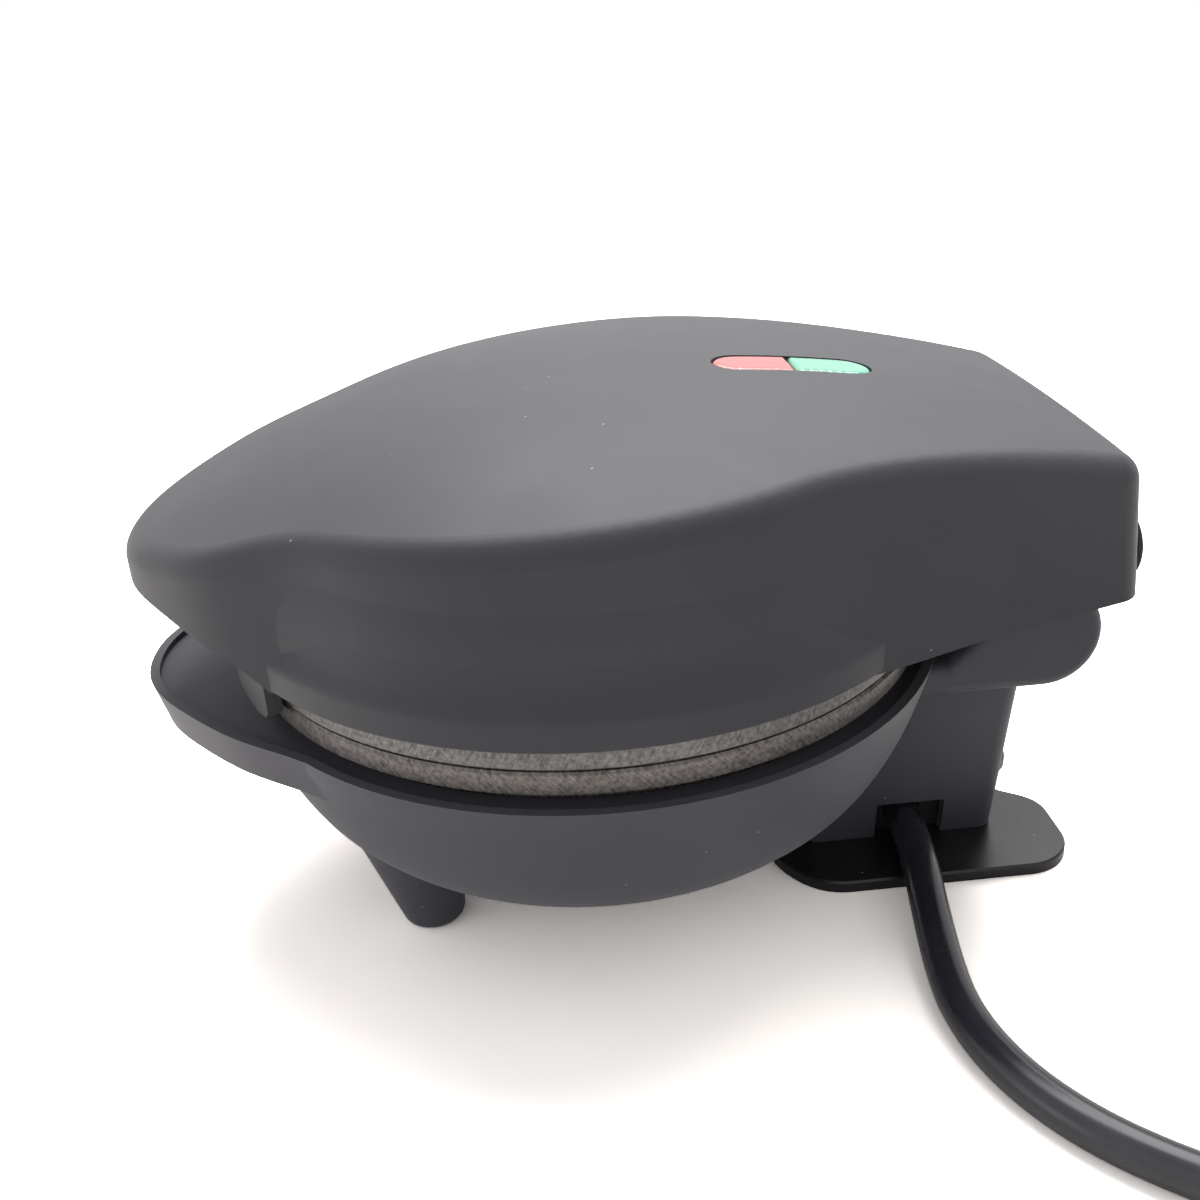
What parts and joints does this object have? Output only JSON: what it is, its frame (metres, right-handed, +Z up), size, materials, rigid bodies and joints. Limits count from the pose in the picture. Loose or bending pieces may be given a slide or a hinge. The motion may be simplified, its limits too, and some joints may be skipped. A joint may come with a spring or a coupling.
{
  "type": "waffle maker",
  "caption": "Small round countertop waffle maker: hinged lid with a pointed lift grip and two pilot lights, pegged cooking plates in a bowl base, and a coiled mains lead.",
  "frame": {"origin": "middle of the footprint on the table, lead not counted", "axes": "+Z up, +Y from the lid's pointed grip towards the hinge, +X to the side where the lead comes out"},
  "size_m": [0.1948, 0.2623, 0.0908],
  "materials": {
    "soft_charcoal": "soft-touch matte",
    "gloss_black": "gloss",
    "coated_plate": "non-stick coating, satin",
    "steel": "satin",
    "zinc_steel": "zinc-plated",
    "element_steel": "heat-stained",
    "brass": "satin",
    "ceramic": "glazed",
    "lens_red": "clear, ribbed",
    "lens_green": "clear, ribbed",
    "lamp_glass": "clear",
    "wire_jacket": "silicone",
    "braid": "braided glass fibre",
    "cord_black": "smooth, slightly glossy",
    "rubber_black": "matte",
    "strap": "woven strap"
  },
  "bodies": {
    "base": {"base_housing": "soft_charcoal", "foot_plate": "gloss_black", "foot_plate_screws": "zinc_steel", "lower_plate": "coated_plate", "lower_plate_rim": "coated_plate", "lower_plate_screws": "zinc_steel", "lower_heater": "element_steel", "lower_element_bar": "steel", "lower_bar_screw": "zinc_steel", "lower_reflector": "steel", "thermal_fuse": "zinc_steel", "fuse_clip": "steel", "earth_tab": "brass", "terminal_block": "ceramic", "terminal_screws": "brass", "base_wires": "wire_jacket", "base_wire_sleeve": "braid", "cord_clamp": "gloss_black", "cord_clamp_screws": "zinc_steel", "cord_grommet": "rubber_black", "hinge_pins": "steel", "hinge_washers": "steel", "power_cord": "cord_black", "cord_coil": "cord_black", "cord_tie": "strap", "plug_sleeve": "cord_black", "plug_body": "cord_black", "plug_pins": "zinc_steel", "plug_earth_clips": "zinc_steel"},
    "lid": {"lid_shell": "soft_charcoal", "lid_frame": "gloss_black", "lid_screws": "zinc_steel", "upper_plate": "coated_plate", "upper_plate_rim": "coated_plate", "upper_plate_screws": "zinc_steel", "upper_heater": "element_steel", "upper_element_bar": "steel", "upper_bar_screw": "zinc_steel", "upper_reflector": "steel", "thermostat": "steel", "thermostat_bracket": "steel", "red_lens": "lens_red", "green_lens": "lens_green", "lamp_holder": "ceramic", "lamp_holder_screws": "zinc_steel", "neon_lamps": "lamp_glass", "lid_wires": "wire_jacket", "lid_wire_sleeve": "braid", "rear_bumpers": "rubber_black"}
  },
  "joints": [
    {"name": "lid_hinge", "type": "hinge", "parent": "base", "child": "lid", "pos_m": [0, 0.06945, 0.0475], "axis": [-1, 0, 0], "range_deg": [0, 95]}
  ]
}
